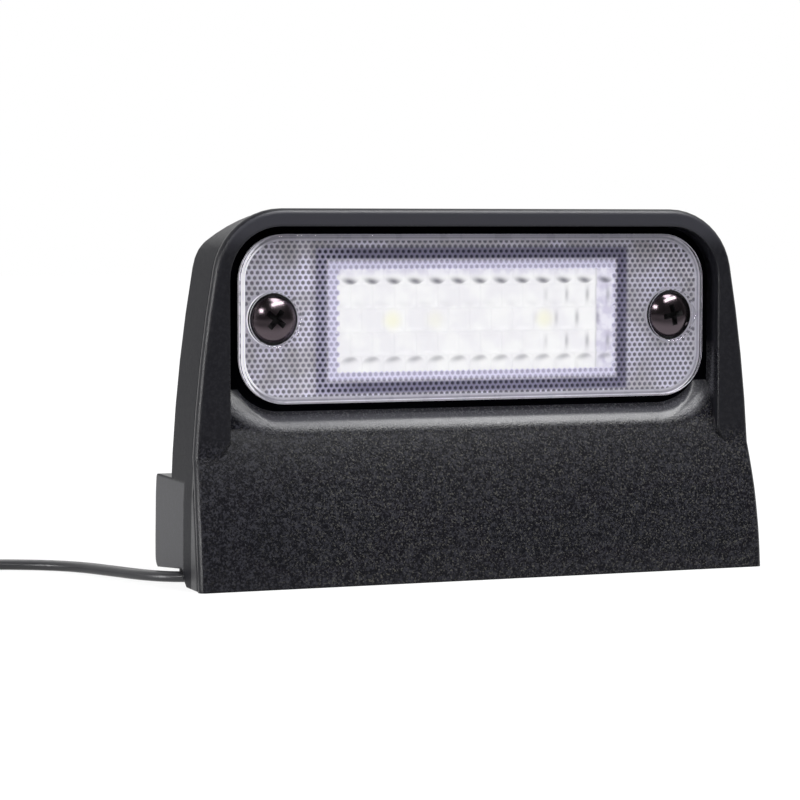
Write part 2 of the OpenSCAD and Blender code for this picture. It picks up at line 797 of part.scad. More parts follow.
housing();
lens();
lens_seal();
lens_screw(-1);  // lens_screw_left
lens_screw(1);  // lens_screw_right
reflector();
led_board();
led(-1.5);  // led_outer_left
led(-0.5);  // led_inner_left
led(0.5);  // led_inner_right
led(1.5);  // led_outer_right
driver_chip();
polarity_diode();
resistor(-1);  // resistor_left
resistor(1);  // resistor_right
capacitor();
solder_joints();
core(-1, "#a8322c");  // core_plus
core(1, "#2c2c30");  // core_minus
lead_grommet();
lead();
lead_coil();
coil_tie();
tail_core(-1, "#a8322c");  // tail_core_plus
tail_core(1, "#2c2c30");  // tail_core_minus
tail_tip(-1);  // tail_tip_plus
tail_tip(1);  // tail_tip_minus
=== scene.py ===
import math

import bmesh
import bpy
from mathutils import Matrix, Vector

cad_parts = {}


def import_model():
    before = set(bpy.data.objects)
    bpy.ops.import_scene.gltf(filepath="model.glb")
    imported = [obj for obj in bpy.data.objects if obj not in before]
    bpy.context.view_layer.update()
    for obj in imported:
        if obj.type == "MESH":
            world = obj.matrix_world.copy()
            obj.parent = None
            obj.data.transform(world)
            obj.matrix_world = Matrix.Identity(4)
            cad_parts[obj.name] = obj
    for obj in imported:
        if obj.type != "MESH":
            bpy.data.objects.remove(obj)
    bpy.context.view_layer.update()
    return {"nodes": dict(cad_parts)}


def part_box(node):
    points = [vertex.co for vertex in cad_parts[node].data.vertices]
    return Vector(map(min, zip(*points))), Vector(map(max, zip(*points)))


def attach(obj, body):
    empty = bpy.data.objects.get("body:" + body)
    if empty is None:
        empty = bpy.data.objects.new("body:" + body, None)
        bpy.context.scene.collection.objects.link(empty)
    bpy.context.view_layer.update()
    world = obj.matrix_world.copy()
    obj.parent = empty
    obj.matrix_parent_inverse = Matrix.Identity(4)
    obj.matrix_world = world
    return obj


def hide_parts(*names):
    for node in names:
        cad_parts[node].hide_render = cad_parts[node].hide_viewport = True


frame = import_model()

MM = 0.001
nodes = frame["nodes"]

# Places taken from the frame, in metres
lens_low, lens_high = [Vector(c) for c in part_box("lens")]
lens_centre = (lens_low + lens_high) / 2
lens_w = lens_high.x - lens_low.x
lens_h = lens_high.z - lens_low.z
lens_front = lens_low.y
lens_back = lens_high.y
tray_low, tray_high = [Vector(c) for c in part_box("reflector")]
light_z = (tray_low.z + tray_high.z) / 2
screw_low, screw_high = [Vector(c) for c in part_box("lens_screw_right")]
screw_x = (screw_low.x + screw_high.x) / 2
head_front = screw_low.y
head_r = (screw_high.x - screw_low.x) / 2
hood_low, hood_high = [Vector(c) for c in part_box("housing")]
# the rim plane is the front of the lip round the lens, and the panel under the lens reaches further forward
panel_reach = 4.4 * MM
rim_y = hood_low.y + panel_reach

# Sizes and places in metres that the frame doesn't state
lens_r = 7.8 * MM
counterbore_r = 4.4 * MM
screw_hole_r = 2.25 * MM
seat_y = lens_front + 1.6 * MM
net_y = lens_front + 1.8 * MM
window_w = 52.1 * MM
window_h = 17.7 * MM
window_x = 0.3 * MM
foot_side = hood_high.x - 0.7 * MM
foot_front_y = rim_y + 6.5 * MM
foot_high = 17.4 * MM

# vertices closer than the weld are one, and the line mark is the lattice's mark where it is flat
weld = 0.002 * MM
line_mark = 0.35

# The lead's section in metres, and its route in millimetres
lead_w = 3.2 * MM
lead_t = 1.8 * MM
lead_floor_z = 0.9
lead_top = (-22, 0.3, 22.3)
lead_down = [
    (-22, 0.3, 17), (-22.4, 0.3, 12.5), (-24.2, 0.1, 8.5), (-27.2, 0.1, 5), (-31, 0.1, 2.6), (-35.5, 0.1, 1.3)
]
lead_over = [
    (-40.5, 0.2), (-45.5, 0.4), (-49.2, 1), (-52.2, 2.4), (-54.5, 4.7), (-56.5, 7.8), (-58.3, 11.5),
    (-60.1, 15.1), (-62, 18.7), (-64.4, 22), (-67.6, 24.9), (-71.6, 27.4), (-76.3, 29.4), (-81.5, 31),
    (-87, 32.1), (-94, 32.4), (-101, 32.4)
]


def look():
    """Camera of the photograph: its place and direction in the part's frame."""
    data = bpy.data.cameras.new("photo_camera")
    data.lens = 123.75
    data.sensor_width = 36
    data.clip_start = 0.01
    camera = bpy.data.objects.new("photo_camera", data)
    camera.location = (-0.1814, -0.4432, 0.0594)
    camera.rotation_euler = (math.radians(86.46), 0, math.radians(-21))
    bpy.context.collection.objects.link(camera)
    bpy.context.scene.camera = camera


# Materials

class Shader:
    """A small helper to build node materials."""

    def __init__(self, name):
        self.material = bpy.data.materials.new(name)
        self.material.use_nodes = True
        self.tree = self.material.node_tree
        self.surface = self.tree.nodes["Principled BSDF"]
        self.out = self.tree.nodes["Material Output"]
        coordinates = self.add("ShaderNodeTexCoord").outputs
        self.place = coordinates["Object"]
        self.normal = coordinates["Normal"]

    def add(self, kind, **settings):
        node = self.tree.nodes.new(kind)
        for key, value in settings.items():
            setattr(node, key, value)
        return node

    def feed(self, socket, value):
        """Links the value to the socket where it is one itself, and otherwise sets it."""
        if isinstance(value, bpy.types.NodeSocket):
            self.tree.links.new(value, socket)
        else:
            socket.default_value = value

    def set(self, **values):
        """Feeds inputs of the surface, named with underscores for spaces."""
        for key, value in values.items():
            self.feed(self.surface.inputs[key.replace("_", " ")], value)

    def math(self, op, a, b=0.0, clamp=False):
        node = self.add("ShaderNodeMath", operation=op, use_clamp=clamp)
        self.feed(node.inputs[0], a)
        self.feed(node.inputs[1], b)
        return node.outputs[0]

    def chain(self, op, values):
        last = values[0]
        for value in values[1:]:
            last = self.math(op, last, value)
        return last

    def total(self, *values):
        return self.chain("ADD", values)

    def product(self, *values):
        return self.chain("MULTIPLY", values)

    def greatest(self, *values):
        return self.chain("MAXIMUM", values)

    def less(self, a, b, clamp=False):
        return self.math("SUBTRACT", a, b, clamp)

    def size(self, value):
        return self.math("ABSOLUTE", value)

    def length(self, a, b):
        """Length of the flat vector with the parts a and b."""
        return self.math("POWER", self.total(self.product(a, a), self.product(b, b)), 0.5)

    def ramp(self, value, low, high, out_low=0.0, out_high=1.0):
        """Smooth step from out_low where the value is low to out_high where it is high."""
        node = self.add("ShaderNodeMapRange", interpolation_type="SMOOTHSTEP")
        self.feed(node.inputs["Value"], value)
        node.inputs["From Min"].default_value = low
        node.inputs["From Max"].default_value = high
        node.inputs["To Min"].default_value = out_low
        node.inputs["To Max"].default_value = out_high
        return node.outputs["Result"]

    def mix(self, factor, a, b):
        node = self.add("ShaderNodeMix", data_type="RGBA")
        self.feed(node.inputs["Factor"], factor)
        self.feed(node.inputs["A"], a)
        self.feed(node.inputs["B"], b)
        return node.outputs["Result"]

    def noise(self, scale, detail=2.0, roughness=0.5):
        node = self.add("ShaderNodeTexNoise")
        self.feed(node.inputs["Vector"], self.place)
        node.inputs["Scale"].default_value = scale
        node.inputs["Detail"].default_value = detail
        node.inputs["Roughness"].default_value = roughness
        return node.outputs["Fac"]

    def attribute(self, name):
        return self.add("ShaderNodeAttribute", attribute_name=name).outputs["Fac"]

    def parts(self, vector):
        """X, Y and Z of a vector."""
        node = self.add("ShaderNodeSeparateXYZ")
        self.feed(node.inputs[0], vector)
        return node.outputs

    def soft_edges(self, radius):
        node = self.add("ShaderNodeBevel", samples=6)
        node.inputs["Radius"].default_value = radius
        return node.outputs["Normal"]

    def bump(self, height, distance, strength=1.0, normal=None):
        node = self.add("ShaderNodeBump")
        node.inputs["Strength"].default_value = strength
        node.inputs["Distance"].default_value = distance
        self.feed(node.inputs["Height"], height)
        if normal is not None:
            self.feed(node.inputs["Normal"], normal)
        self.feed(self.surface.inputs["Normal"], node.outputs["Normal"])


def rgb(r, g, b):
    """Linear colour from the sRGB values of a swatch, 0 to 255."""
    def line(v):
        v = v / 255
        return v / 12.92 if v <= 0.04045 else ((v + 0.055) / 1.055) ** 2.4
    return (line(r), line(g), line(b), 1)


def lens_distance(s, x, z):
    """Distance from the outline of the lens in metres, at its sides and below it."""
    beyond_x = s.math("MAXIMUM", s.less(s.size(x), lens_w / 2 - lens_r), 0.0)
    beyond_z = s.math("MAXIMUM", s.less(s.less(lens_centre.z, z), lens_h / 2 - lens_r), 0.0)
    return s.less(s.length(beyond_x, beyond_z), lens_r)


def housing_zones(s, x, y, z):
    """Masks from 0 to 1 for the parts of the moulding that differ in finish or in light."""
    # over which distances in metres each zone fades in or out
    lip_foot = (lens_low.z - 8.2 * MM, lens_low.z - 4.6 * MM)
    crown_foot = (hood_high.z - 8 * MM, hood_high.z - 3 * MM)
    under_middle = (lens_centre.z - 4 * MM, lens_centre.z - 8 * MM)
    front_end = (rim_y + 7 * MM, rim_y + 6 * MM)
    back_start = (rim_y + 6 * MM, rim_y + 7 * MM)
    panel_start = (3 * MM, 4.6 * MM)
    shelf_end = (5.7 * MM, 4.1 * MM)
    shelf_side = (45.6 * MM, 45 * MM)
    foot_start = (foot_front_y, foot_front_y + 0.3 * MM)
    foot_skin = (foot_side - 1 * MM, foot_side - 0.2 * MM)
    foot_top = (foot_high, foot_high - 0.6 * MM)

    from_lens = lens_distance(s, x, z)
    normal_x, normal_y, normal_z = s.parts(s.normal)
    mark = s.attribute("lip")
    lip = s.product(s.ramp(mark, 0.2, 0.8), s.ramp(z, *lip_foot))
    below = s.product(s.ramp(z, *under_middle), s.ramp(y, *front_end))
    panel = s.product(s.ramp(from_lens, *panel_start), s.less(1.0, lip))
    foot = s.product(s.ramp(y, *foot_start), s.ramp(s.size(x), *foot_skin))
    return {
        "recess_floor_shade": s.ramp(mark, -0.2, -0.8),
        "crown": s.product(lip, s.ramp(z, *crown_foot)),
        "sparked": s.product(panel, s.ramp(s.size(normal_x), 0.6, 0.4), below),
        "shelf": s.product(s.ramp(from_lens, *shelf_end), s.ramp(s.size(x), *shelf_side), below),
        "foot": s.product(foot, s.ramp(z, *foot_top)),
        "top": s.ramp(normal_z, 0.35, 0.8),
        "behind": s.product(s.ramp(s.size(normal_x), 0.6, 0.35), s.ramp(y, *back_start)),
    }


def housing_colour(s, x, y, grain, zone):
    """Black with fine pale specks, most on the sparked front panel; painted glints, painted light on the
    shelf, the lip's top and the feet's sides, and painted shade on the recess floor.
    """
    smooth_dark, smooth_pale = rgb(18, 18, 22), rgb(25, 25, 29)
    spark_dark, spark_pale, painted_glint_colour = rgb(13, 13, 17), rgb(40, 40, 45), rgb(64, 63, 60)
    foot_light_dark, foot_light_pale = rgb(42, 42, 45), rgb(62, 62, 66)
    shelf_painted_light, crown_painted_light, recess_painted_shade = rgb(56, 56, 60), rgb(46, 46, 51), rgb(5, 5, 8)
    shelf_front = (rim_y + 1.2 * MM, rim_y + 2.2 * MM)
    panel_left = (-46 * MM, -24 * MM)

    speck = s.ramp(grain, 0.46, 0.6)
    # the painted glints grow weaker towards the left end of the panel
    glint = s.product(s.ramp(s.noise(3300, 2, 0.6), 0.56, 0.66), s.ramp(x, *panel_left, 0.25, 1))
    sparked = s.mix(glint, s.mix(speck, spark_dark, spark_pale), painted_glint_colour)
    colour = s.mix(zone["sparked"], s.mix(speck, smooth_dark, smooth_pale), sparked)
    # painted light: the shelf under the lens is paler behind its front edge, where light falls on it
    colour = s.mix(zone["shelf"], colour, s.mix(s.ramp(y, *shelf_front), colour, shelf_painted_light))
    # painted light: a paler band along the top of the lip
    colour = s.mix(zone["crown"], colour, crown_painted_light)
    # painted shade: the floor of the lens recess is near black
    colour = s.mix(zone["recess_floor_shade"], colour, recess_painted_shade)
    # painted light: the sides of the feet are painted paler than the rest of the moulding
    return s.mix(zone["foot"], colour, s.mix(speck, foot_light_dark, foot_light_pale))


def housing_sheen(s, x, y, zone):
    """Level of the reflected light: high on the shelf, middling on the front faces, low on the side faces."""
    front_level, side_level, spark_loss = 0.24, 0.02, 0.12
    shelf_left_level, shelf_right_level = 0.19, 0.36
    top_level, behind_level, foot_gain = 0.14, 0.2, 0.05
    lip_end = (rim_y + 1.4 * MM, rim_y + 2 * MM)
    along_shelf = (-42 * MM, 2 * MM)

    level = s.ramp(y, *lip_end, front_level, side_level)
    level = s.less(level, s.product(zone["sparked"], spark_loss), clamp=True)
    shelf = s.product(zone["shelf"], s.ramp(x, *along_shelf, shelf_left_level, shelf_right_level))
    top = s.product(zone["top"], top_level)
    level = s.greatest(level, shelf, top, s.product(zone["behind"], behind_level))
    # no reflection on the recess floor, where shade is painted
    level = s.product(level, s.less(1.0, zone["recess_floor_shade"]))
    return s.total(level, s.product(zone["foot"], foot_gain))


def housing_material():
    s = Shader("moulded_black")
    x, y, z = s.parts(s.place)
    grain = s.total(s.product(s.noise(2600, 3, 0.7), 0.7), s.product(s.noise(1100, 2, 0.5), 0.3))
    zone = housing_zones(s, x, y, z)
    s.set(Base_Color=housing_colour(s, x, y, grain, zone))
    s.set(Specular_IOR_Level=housing_sheen(s, x, y, zone))
    s.set(Roughness=s.less(s.ramp(grain, 0.35, 0.65, 0.28, 0.38), s.product(zone["shelf"], 0.08)))
    # the grain is deepest where the sparked panel meets the shelf
    meeting = s.product(zone["shelf"], zone["sparked"], 2.0)
    relief = s.total(s.product(zone["sparked"], 0.85), meeting, 0.15)
    s.bump(s.product(grain, relief), 0.05 * MM, 1.0, s.soft_edges(0.7 * MM))
    return s.material


def plain_material(name, colour, roughness, metallic=0.0, grain=1500, depth=0.03 * MM, specular=0.5):
    """One colour with faint unevenness in tone, roughness and relief."""
    s = Shader(name)
    tone = s.noise(grain * 0.4, 2)
    darker = tuple(0.8 * c for c in colour[:3]) + (1,)
    s.set(Base_Color=s.mix(tone, darker, colour), Metallic=metallic, Specular_IOR_Level=specular)
    s.set(Roughness=s.ramp(tone, 0.3, 0.7, roughness * 0.85, min(1, roughness * 1.15)))
    s.bump(s.noise(grain, 2), depth, 0.4)
    return s.material


def glass_material():
    s = Shader("clear_polycarbonate")
    s.set(Base_Color=(1, 1, 1, 1), Transmission_Weight=1, IOR=1.5)
    s.set(Roughness=s.ramp(s.noise(300, 3), 0.4, 0.7, 0.0, 0.04))
    return s.material


def net_material():
    """Painted glow of the lattice, standing in for the diodes' light through the lens: a dark band of painted
    shade round the window, and paler zones where the light spreads.
    """
    s = Shader("lattice_glow")
    x, y, z = s.parts(s.place)
    line_dull, line_pale, line_near = rgb(170, 167, 174), rgb(198, 195, 212), rgb(206, 203, 222)
    line_dark_right, line_dark_left = rgb(116, 113, 136), rgb(158, 155, 178)
    hole_plain, hole_near, hole_dark = rgb(100, 98, 108), rgb(160, 157, 178), rgb(34, 32, 52)
    # the inner edge of the dark band of painted shade, as half a width and half a height round its middle
    band_x, band_half_w, band_half_h = -0.4 * MM, 26.9 * MM, 10.4 * MM
    band_inner = (-0.3 * MM, 0.3 * MM)
    band_outer = (1.6 * MM, 2.3 * MM)
    band_left = (-20 * MM, -28 * MM)
    window_fade = (0.0, -0.6 * MM)
    streak_left = (-33.2 * MM, -31.6 * MM)
    streak_right = (-29.6 * MM, -30.6 * MM)
    low_end = (light_z - 8 * MM, light_z - 13 * MM)
    high_end = (light_z + 8 * MM, light_z + 13 * MM)
    right_end = (24 * MM, 36 * MM)
    plain_glow, streak_gain, low_gain, high_gain, right_gain = 0.37, 0.3, 0.1, -0.26, -0.08

    beyond_x = s.less(s.size(s.less(x, band_x)), band_half_w)
    beyond_z = s.less(s.size(s.less(z, light_z)), band_half_h)
    beyond = s.greatest(beyond_x, beyond_z)
    dark = s.product(s.ramp(beyond, *band_inner), s.ramp(beyond, *band_outer, 1, 0))
    near = s.ramp(beyond, *window_fade)
    blotch = s.noise(150, 3)
    line = s.mix(near, s.mix(s.ramp(blotch, 0.38, 0.62), line_dull, line_pale), line_near)
    line = s.mix(dark, line, s.mix(s.ramp(x, *band_left), line_dark_right, line_dark_left))
    hole = s.mix(dark, s.mix(near, hole_plain, hole_near), hole_dark)
    colour = s.mix(s.attribute("pit"), line, hole)
    # painted light: a brighter streak left of the window, more light towards the bottom, less at the top and
    # the right end
    streak = s.product(s.ramp(x, *streak_left), s.ramp(x, *streak_right))
    glow = s.total(
        s.product(streak, streak_gain),
        s.ramp(z, *low_end, 0, low_gain),
        s.ramp(z, *high_end, 0, high_gain),
        s.ramp(x, *right_end, 0, right_gain),
        plain_glow)
    s.set(Base_Color=colour, Emission_Color=colour, Emission_Strength=glow)
    s.set(Roughness=s.ramp(blotch, 0.3, 0.7, 0.3, 0.45))
    return s.material


def border_material():
    """Painted light on the edge of the lens and of its counterbores, glowing though no lamp: two pale lines
    of painted highlight with a dark one between them.
    """
    s = Shader("lens_edge_painted_light")
    x, y, z = s.parts(s.place)
    across = s.attribute("across")
    plain_low, plain_high = rgb(150, 148, 158), rgb(176, 174, 186)
    pale_low, pale_high = rgb(196, 194, 202), rgb(240, 239, 244)
    dark_right, dark_left = rgb(132, 130, 140), rgb(58, 57, 64)
    left_end = (-37 * MM, -41 * MM)
    low_end = (lens_centre.z - 10 * MM, lens_low.z)
    high_end = (lens_centre.z + 6 * MM, lens_high.z)
    right_glow, left_glow, high_loss = 0.36, 0.62, 0.24

    left = s.ramp(x, *left_end)
    uneven = s.noise(240, 2)
    plain = s.mix(uneven, plain_low, plain_high)
    pale = s.mix(uneven, pale_low, pale_high)
    # the painted highlight is pale at the left end, and on the outermost line along the bottom
    bright = s.greatest(left, s.product(s.ramp(z, *low_end), s.ramp(across, 0.3, 0.2)))
    between = s.product(s.ramp(across, 0.22, 0.4), s.ramp(across, 0.75, 0.55))
    tone = s.mix(between, s.mix(bright, plain, pale), s.mix(left, dark_right, dark_left))
    glow = s.less(s.ramp(left, 0, 1, right_glow, left_glow), s.product(s.ramp(z, *high_end), high_loss))
    s.set(Base_Color=tone, Emission_Color=tone, Emission_Strength=glow)
    s.set(Roughness=s.ramp(s.noise(500), 0.3, 0.7, 0.25, 0.35))
    return s.material


def pillow_material():
    """White light with a yellow spot before each diode that the photograph shows."""
    s = Shader("lit_pillows")
    x, y, z = s.parts(s.place)
    shade = s.attribute("shade")
    white_low, white_high = rgb(245, 244, 248), rgb(252, 252, 253)
    blue_low, blue_high = rgb(214, 210, 230), rgb(238, 236, 248)
    scallop_shade, spot_yellow = rgb(104, 103, 114), rgb(254, 252, 214)
    body_plain, body_under_shade = rgb(52, 52, 56), rgb(26, 26, 30)
    right_end = (22.4 * MM, 22.9 * MM)
    top_edge = (light_z + 7 * MM, light_z + 8.4 * MM)
    # place of each spot and its strength, and the radii between which it fades
    spots = ((-15.4 * MM, 0.55), (-7.6 * MM, 0.25), (12.8 * MM, 0.5))
    spot_core, spot_end = 0.3 * MM, 2.5 * MM

    tone = s.mix(s.ramp(s.noise(260, 2), 0.35, 0.65), white_low, white_high)
    # the light is bluer and uneven at the right end and along the top
    blue_part = s.greatest(s.ramp(x, *right_end), s.ramp(z, *top_edge, 0, 0.7))
    tone = s.mix(blue_part, tone, s.mix(s.ramp(s.noise(520, 3), 0.38, 0.62), blue_low, blue_high))
    # painted shade: scallops and marks of shade darken the light
    tone = s.mix(shade, tone, scallop_shade)
    up = s.less(z, light_z)
    rounds = []
    for place, strength in spots:
        away = s.length(s.less(x, place), up)
        rounds.append(s.ramp(away, spot_core, spot_end, strength, 0))
    tone = s.mix(s.greatest(*rounds), tone, spot_yellow)
    # the body is darker under the painted shade too
    s.set(Base_Color=s.mix(shade, body_plain, body_under_shade), Specular_IOR_Level=0.2)
    s.set(Emission_Color=tone, Emission_Strength=0.945)
    s.set(Roughness=s.ramp(s.noise(400), 0.3, 0.7, 0.3, 0.4))
    return s.material


# Shapes that several pieces use

def new_object(name, bm, smooth=True):
    mesh = bpy.data.meshes.new(name)
    bm.to_mesh(mesh)
    bm.free()
    for face in mesh.polygons:
        face.use_smooth = smooth
    piece = bpy.data.objects.new(name, mesh)
    bpy.context.collection.objects.link(piece)
    return piece


def rounded_loop(w, h, r, steps=10):
    """Points of a rounded rectangle in X and Z round the middle, anticlockwise seen from the front."""
    points = []
    for i, (sx, sz) in enumerate([(1, 1), (-1, 1), (-1, -1), (1, -1)]):
        for k in range(steps + 1):
            a = math.radians(90 * i + 90 * k / steps)
            points.append((sx * (w / 2 - r) + r * math.cos(a), sz * (h / 2 - r) + r * math.sin(a)))
    return points


def circle(r, steps=48):
    angles = [2 * math.pi * k / steps for k in range(steps)]
    return [(r * math.cos(a), r * math.sin(a)) for a in angles]


def inside_rounded(x, z, w, h, r):
    """Whether a point lies inside a rounded rectangle round the middle."""
    qx, qz = abs(x) - (w / 2 - r), abs(z) - (h / 2 - r)
    return math.hypot(max(qx, 0), max(qz, 0)) + min(max(qx, qz), 0) - r < 0


def ring(bm, points, y, centre):
    """Vertices at points in X and Z round the centre, all at one y."""
    return [bm.verts.new((centre.x + x, y, centre.z + z)) for x, z in points]


def bridge(bm, a, b):
    """Faces between two rings of as many vertices."""
    n = len(a)
    for k in range(n):
        bm.faces.new((a[k], a[(k + 1) % n], b[(k + 1) % n], b[k]))


def fill(bm, rings):
    """Flat faces between an outer ring and the holes in it."""
    edges = []
    for loop in rings:
        for k, v in enumerate(loop):
            pair = (v, loop[(k + 1) % len(loop)])
            edges.append(bm.edges.get(pair) or bm.edges.new(pair))
    bmesh.ops.triangle_fill(bm, use_beauty=True, edges=edges)


def step_between(value, low, high):
    """Smooth step from 0 at low to 1 at high."""
    t = max(0.0, min(1.0, (value - low) / (high - low)))
    return t * t * (3 - 2 * t)


def hump(value, middle, reach):
    return math.exp(-((value - middle) / reach) ** 2)


def screw_places():
    """Axes of the left and the right lens screw."""
    return [Vector((side * screw_x, 0, lens_centre.z)) for side in (-1, 1)]


# Housing

def faces_front(face):
    return face.normal.y < -0.9999


def mark_edges(bm):
    """Picks the edges of the front lip that get a real rounding, and keeps the other sharp edges sharp."""
    layer = bm.edges.layers.float.new("bevel_weight_edge")
    front_limit, other_limit = math.radians(5), math.radians(22)
    for edge in bm.edges:
        if len(edge.link_faces) != 2:
            continue
        one, two = [faces_front(face) for face in edge.link_faces]
        if edge.calc_face_angle(0) < (front_limit if one != two else other_limit):
            continue
        edge.smooth = False
        if edge.calc_face_angle_signed(0) < 0:
            continue
        middle = (edge.verts[0].co + edge.verts[1].co) / 2
        front = min((face.normal for face in edge.link_faces), key=lambda n: n.y)
        other = max((face.normal for face in edge.link_faces), key=lambda n: n.y)
        if front.y > -0.85 or abs(other.y) > 0.3 or other.z < -0.5:
            continue
        outward = other.x * middle.x + 0.2 * other.z * middle.z > 0
        on_lip = middle.y < rim_y + 0.2 * MM
        if outward and on_lip:
            edge[layer] = 1.0
            edge.smooth = True


def mark_faces(bm):
    """Gives the front faces a mark for the material: 1 on the lip and -1 on the floor of the lens recess,
    where the material paints shade.
    """
    layer = bm.faces.layers.float.new("lip")
    lip_reach = 0.1 * MM
    floor_from, floor_to = 3 * MM, 6 * MM
    for face in bm.faces:
        if faces_front(face):
            depth = face.calc_center_median().y - rim_y
            if abs(depth) < lip_reach:
                face[layer] = 1.0
            elif floor_from < depth < floor_to:
                face[layer] = -1.0


def housing_piece():
    bm = bmesh.new()
    bm.from_mesh(nodes["housing"].data)
    bmesh.ops.remove_doubles(bm, verts=bm.verts, dist=weld)
    bmesh.ops.dissolve_limit(bm, angle_limit=math.radians(0.5), verts=bm.verts, edges=bm.edges)
    mark_edges(bm)
    mark_faces(bm)
    piece = new_object("hood", bm)
    bevel = piece.modifiers.new("soft_edges", "BEVEL")
    bevel.width = 1.0 * MM
    bevel.segments = 5
    bevel.limit_method = "WEIGHT"
    bevel.use_clamp_overlap = False
    normals = piece.modifiers.new("even_normals", "WEIGHTED_NORMAL")
    normals.keep_sharp = True
    piece.data.materials.append(housing_material())
    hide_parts("housing")
    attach(piece, "root")


# Lens

def lens_piece():
    """Clear body of the lens with its softened edges, counterbores and screw holes."""
    soft = 0.35 * MM
    chamfer = 0.2 * MM
    profile = [(soft, lens_front), (soft * 0.3, lens_front + soft * 0.3), (0, lens_front + soft),
               (0, lens_back - soft * 0.6), (soft * 0.6, lens_back)]
    bore = [(counterbore_r + chamfer, lens_front), (counterbore_r, lens_front + chamfer),
            (counterbore_r, seat_y), (screw_hole_r, seat_y), (screw_hole_r, lens_back)]
    bm = bmesh.new()
    outside = []
    for inset, y in profile:
        points = rounded_loop(lens_w - 2 * inset, lens_h - 2 * inset, lens_r - inset)
        outside.append(ring(bm, points, y, lens_centre))
    for a, b in zip(outside, outside[1:]):
        bridge(bm, a, b)
    front, back = [outside[0]], [outside[-1]]
    for place in screw_places():
        inside = [ring(bm, circle(r), y, place) for r, y in bore]
        for a, b in zip(inside, inside[1:]):
            bridge(bm, b, a)
        front.append(inside[0])
        back.append(inside[-1])
    fill(bm, front)
    fill(bm, back)
    bmesh.ops.recalc_face_normals(bm, faces=bm.faces)
    piece = new_object("lens_body", bm)
    for face in piece.data.polygons:
        face.use_smooth = abs(face.normal.y) < 0.98
    piece.data.materials.append(glass_material())
    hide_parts("lens")
    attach(piece, "root")


def in_lattice(x, z):
    """Whether a cell lies inside the lens's edge, off the counterbores and off the window."""
    edge, gap, overlap = 0.75 * MM, 0.45 * MM, 0.4 * MM
    if not inside_rounded(x, z, lens_w - 2 * edge, lens_h - 2 * edge, lens_r - edge):
        return False
    if math.hypot(abs(x) - screw_x, z) < counterbore_r + gap:
        return False
    past_side = abs(x - window_x) >= window_w / 2 - overlap
    past_top = abs(z + lens_centre.z - light_z) >= window_h / 2 - overlap
    return past_side or past_top


def lattice_cell(bm, layer, corner, x, z, pitch):
    """One six-sided cell round x and z: flat lines at its edge and a pit in its middle."""
    outer, rim, pit = [], [], []
    # radius as a share of the pitch, depth and mark of the two inner rings
    inner = ((rim, 0.4, 0.02 * MM, line_mark), (pit, 0.28, 0.22 * MM, 1))
    outer_r = pitch / math.sqrt(3)
    for k in range(6):
        a = math.radians(60 * k + 30)
        outer.append(corner(x + outer_r * math.cos(a), z + outer_r * math.sin(a)))
        for loop, share, depth, mark in inner:
            r = share * pitch
            v = bm.verts.new((x + r * math.cos(a), net_y + depth, z + r * math.sin(a)))
            v[layer] = mark
            loop.append(v)
    for k in range(6):
        n = (k + 1) % 6
        bm.faces.new((outer[k], rim[k], rim[n], outer[n]))
        bm.faces.new((rim[k], pit[k], pit[n], rim[n]))
    bm.faces.new(list(reversed(pit)))


def net_piece(glow):
    """Fine six-sided lattice on the inside of the lens, its cells 1 mm apart."""
    pitch = 1.0 * MM
    row = pitch * math.sqrt(3) / 2
    bm = bmesh.new()
    layer = bm.verts.layers.float.new("pit")
    corners = {}

    def corner(x, z):
        # neighbouring cells share their corners, found by a key in steps of 0.02 mm
        key = (round(x / MM * 50), round(z / MM * 50))
        if key not in corners:
            corners[key] = bm.verts.new((x, net_y, z))
        return corners[key]

    rows = int(lens_h / 2 / row) + 1
    cols = int(lens_w / 2 / pitch) + 1
    for j in range(-rows, rows + 1):
        for i in range(-cols, cols + 1):
            x = (i + 0.5 * (j % 2)) * pitch
            z = j * row
            if in_lattice(x, z):
                lattice_cell(bm, layer, corner, lens_centre.x + x, lens_centre.z + z, pitch)
    piece = new_object("lens_lattice", bm, smooth=False)
    piece.data.materials.append(glow)
    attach(piece, "root")


def sheet_piece(glow):
    """Plain sheet behind the lattice, which closes it at its edges."""
    y = net_y + 0.26 * MM
    edge, gap = 0.6 * MM, 0.15 * MM
    outline = rounded_loop(lens_w - 2 * edge, lens_h - 2 * edge, lens_r - edge)
    window = [(window_x + sx * window_w / 2, sz * window_h / 2 + light_z - lens_centre.z)
              for sx, sz in ((1, 1), (-1, 1), (-1, -1), (1, -1))]
    bm = bmesh.new()
    rings = [ring(bm, outline, y, lens_centre), ring(bm, window, y, lens_centre)]
    rings += [ring(bm, circle(counterbore_r + gap), y, place) for place in screw_places()]
    fill(bm, rings)
    piece = new_object("lens_back_sheet", bm, smooth=False)
    layer = piece.data.attributes.new("pit", "FLOAT", "POINT")
    for item in layer.data:
        item.value = line_mark
    piece.data.materials.append(glow)
    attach(piece, "root")


